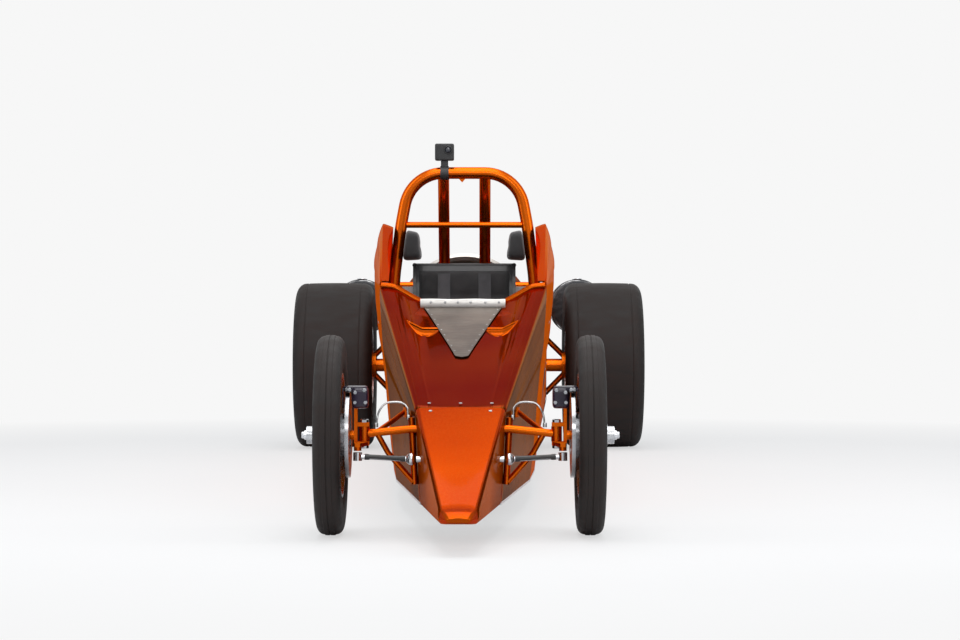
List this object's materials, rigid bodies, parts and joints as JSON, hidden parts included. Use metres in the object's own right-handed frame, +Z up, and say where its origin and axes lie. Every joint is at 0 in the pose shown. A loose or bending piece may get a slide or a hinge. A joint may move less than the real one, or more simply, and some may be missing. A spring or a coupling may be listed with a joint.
{
  "type": "jet dragster",
  "caption": "Open-wheel jet drag racing car: wedge nose, steered narrow front wheels, wide rear slicks, roll hoop cockpit, jet engine and tail pipe.",
  "frame": {"origin": "on the ground under the middle of the car's length and width", "axes": "+Z up, nose towards -Y, tail towards +Y, +X to the driver's left"},
  "size_m": [1.752, 6.7, 1.343],
  "materials": {
    "orange_paint": "high gloss metallic",
    "black_paint": "satin",
    "bare_aluminium": "brushed",
    "spun_aluminium": "polished",
    "heat_steel": "heat tinted",
    "engine_metal": "satin",
    "disc_steel": "machined",
    "caliper_purple": "satin",
    "tyre_rubber": "matt",
    "seat_carbon": "satin",
    "pad_fabric": "woven",
    "belt_fabric": "woven",
    "pack_fabric": "woven",
    "camera_plastic": "matt"
  },
  "bodies": {
    "chassis": {"nose_cone": "orange_paint", "front_cowl": "orange_paint", "cowl_plate": "bare_aluminium", "belly_pan": "bare_aluminium", "body_side_left": "orange_paint", "body_side_right": "orange_paint", "shoulder_panels": "orange_paint", "frame_left": "orange_paint", "frame_right": "orange_paint", "cross_members": "orange_paint", "roll_hoop": "orange_paint", "hoop_stays": "orange_paint", "head_pads": "pad_fabric", "seat_shell": "seat_carbon", "seat_belts": "belt_fabric", "firewall": "bare_aluminium", "steering_column": "black_paint", "dash_panel": "black_paint", "pedals": "bare_aluminium", "engine_casing": "engine_metal", "intake_ring": "bare_aluminium", "tail_pipe": "heat_steel", "exhaust_nozzle": "heat_steel", "front_axle": "orange_paint", "rack_tube": "black_paint", "rear_axle": "orange_paint", "parachute_brackets": "orange_paint", "parachute_packs": "pack_fabric", "action_camera": "camera_plastic"},
    "knuckle_left": {"knuckle_left": "orange_paint", "caliper_left": "caliper_purple"},
    "knuckle_right": {"knuckle_right": "orange_paint", "caliper_right": "caliper_purple"},
    "front_wheel_left": {"front_rim_left": "spun_aluminium", "front_tyre_left": "tyre_rubber", "brake_disc_left": "disc_steel"},
    "front_wheel_right": {"front_rim_right": "spun_aluminium", "front_tyre_right": "tyre_rubber", "brake_disc_right": "disc_steel"},
    "rear_wheel_left": {"rear_rim_left": "spun_aluminium", "rear_tyre_left": "tyre_rubber"},
    "rear_wheel_right": {"rear_rim_right": "spun_aluminium", "rear_tyre_right": "tyre_rubber"},
    "steering_link": {"steering_links": "orange_paint"},
    "hand_wheel": {"steering_wheel": "black_paint"}
  },
  "joints": [
    {"name": "steer_left", "type": "hinge", "parent": "chassis", "child": "knuckle_left", "pos_m": [0.305, -2.6, 0.3215], "axis": [0, 0, 1], "range_deg": [-15, 15]},
    {"name": "steer_right", "type": "hinge", "parent": "chassis", "child": "knuckle_right", "pos_m": [-0.305, -2.6, 0.3215], "axis": [0, 0, 1], "range_deg": [-15, 15]},
    {"name": "rack_slide", "type": "slide", "parent": "chassis", "child": "steering_link", "axis": [1, 0, 0], "range_m": [-0.02609, 0.02609]},
    {"name": "hand_wheel_turn", "type": "hinge", "parent": "chassis", "child": "hand_wheel", "pos_m": [0, -1.31, 0.64], "axis": [0, 0.9397, 0.342], "range_deg": [-90.5, 90.5]},
    {"name": "spin_front_left", "type": "hinge", "parent": "knuckle_left", "child": "front_wheel_left", "pos_m": [0.411, -2.6, 0.3175], "axis": [1, 0, 0], "continuous": true},
    {"name": "spin_front_right", "type": "hinge", "parent": "knuckle_right", "child": "front_wheel_right", "pos_m": [-0.411, -2.6, 0.3175], "axis": [1, 0, 0], "continuous": true},
    {"name": "spin_rear_left", "type": "hinge", "parent": "chassis", "child": "rear_wheel_left", "pos_m": [0.69, 2.48, 0.419], "axis": [1, 0, 0], "continuous": true},
    {"name": "spin_rear_right", "type": "hinge", "parent": "chassis", "child": "rear_wheel_right", "pos_m": [-0.69, 2.48, 0.419], "axis": [1, 0, 0], "continuous": true}
  ],
  "couplings": [
    {"joint": "steer_right", "follows": "steer_left", "ratio": 1},
    {"joint": "rack_slide", "follows": "steer_left", "m_per_rad": 0.0989},
    {"joint": "hand_wheel_turn", "follows": "steer_left", "ratio": 6}
  ]
}
